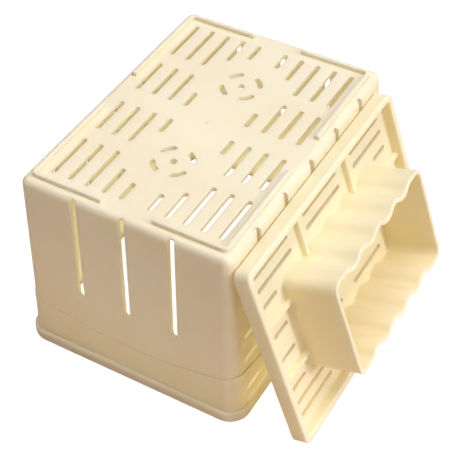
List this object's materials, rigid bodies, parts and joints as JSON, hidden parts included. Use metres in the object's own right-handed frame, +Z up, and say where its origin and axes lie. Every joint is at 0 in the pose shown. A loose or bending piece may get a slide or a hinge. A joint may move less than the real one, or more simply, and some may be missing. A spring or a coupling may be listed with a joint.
{
  "type": "cheese mold",
  "caption": "Rectangular perforated press box standing upside down on its open mouth, with a slotted press lid and wavy hand ring leaning against its long side.",
  "frame": {"origin": "centre of the whole set's footprint, on the ground plane that the box's mouth and the lid's lower edge stand on", "axes": "+Z up, +X across the box's short side towards the leaning lid, +Y along the box's long side"},
  "size_m": [0.1392, 0.1332, 0.0864],
  "materials": {
    "box_plastic": "satin cream polypropylene, slightly translucent, as moulded",
    "lid_plastic": "satin cream polypropylene, slightly translucent, as moulded"
  },
  "bodies": {
    "box": {"mold_box": "box_plastic"},
    "lid": {"press_lid": "lid_plastic"}
  },
  "joints": [
    {"name": "lid_lift", "type": "slide", "parent": "box", "child": "lid", "axis": [0, 0, 1], "range_m": [0, 0.095]}
  ]
}
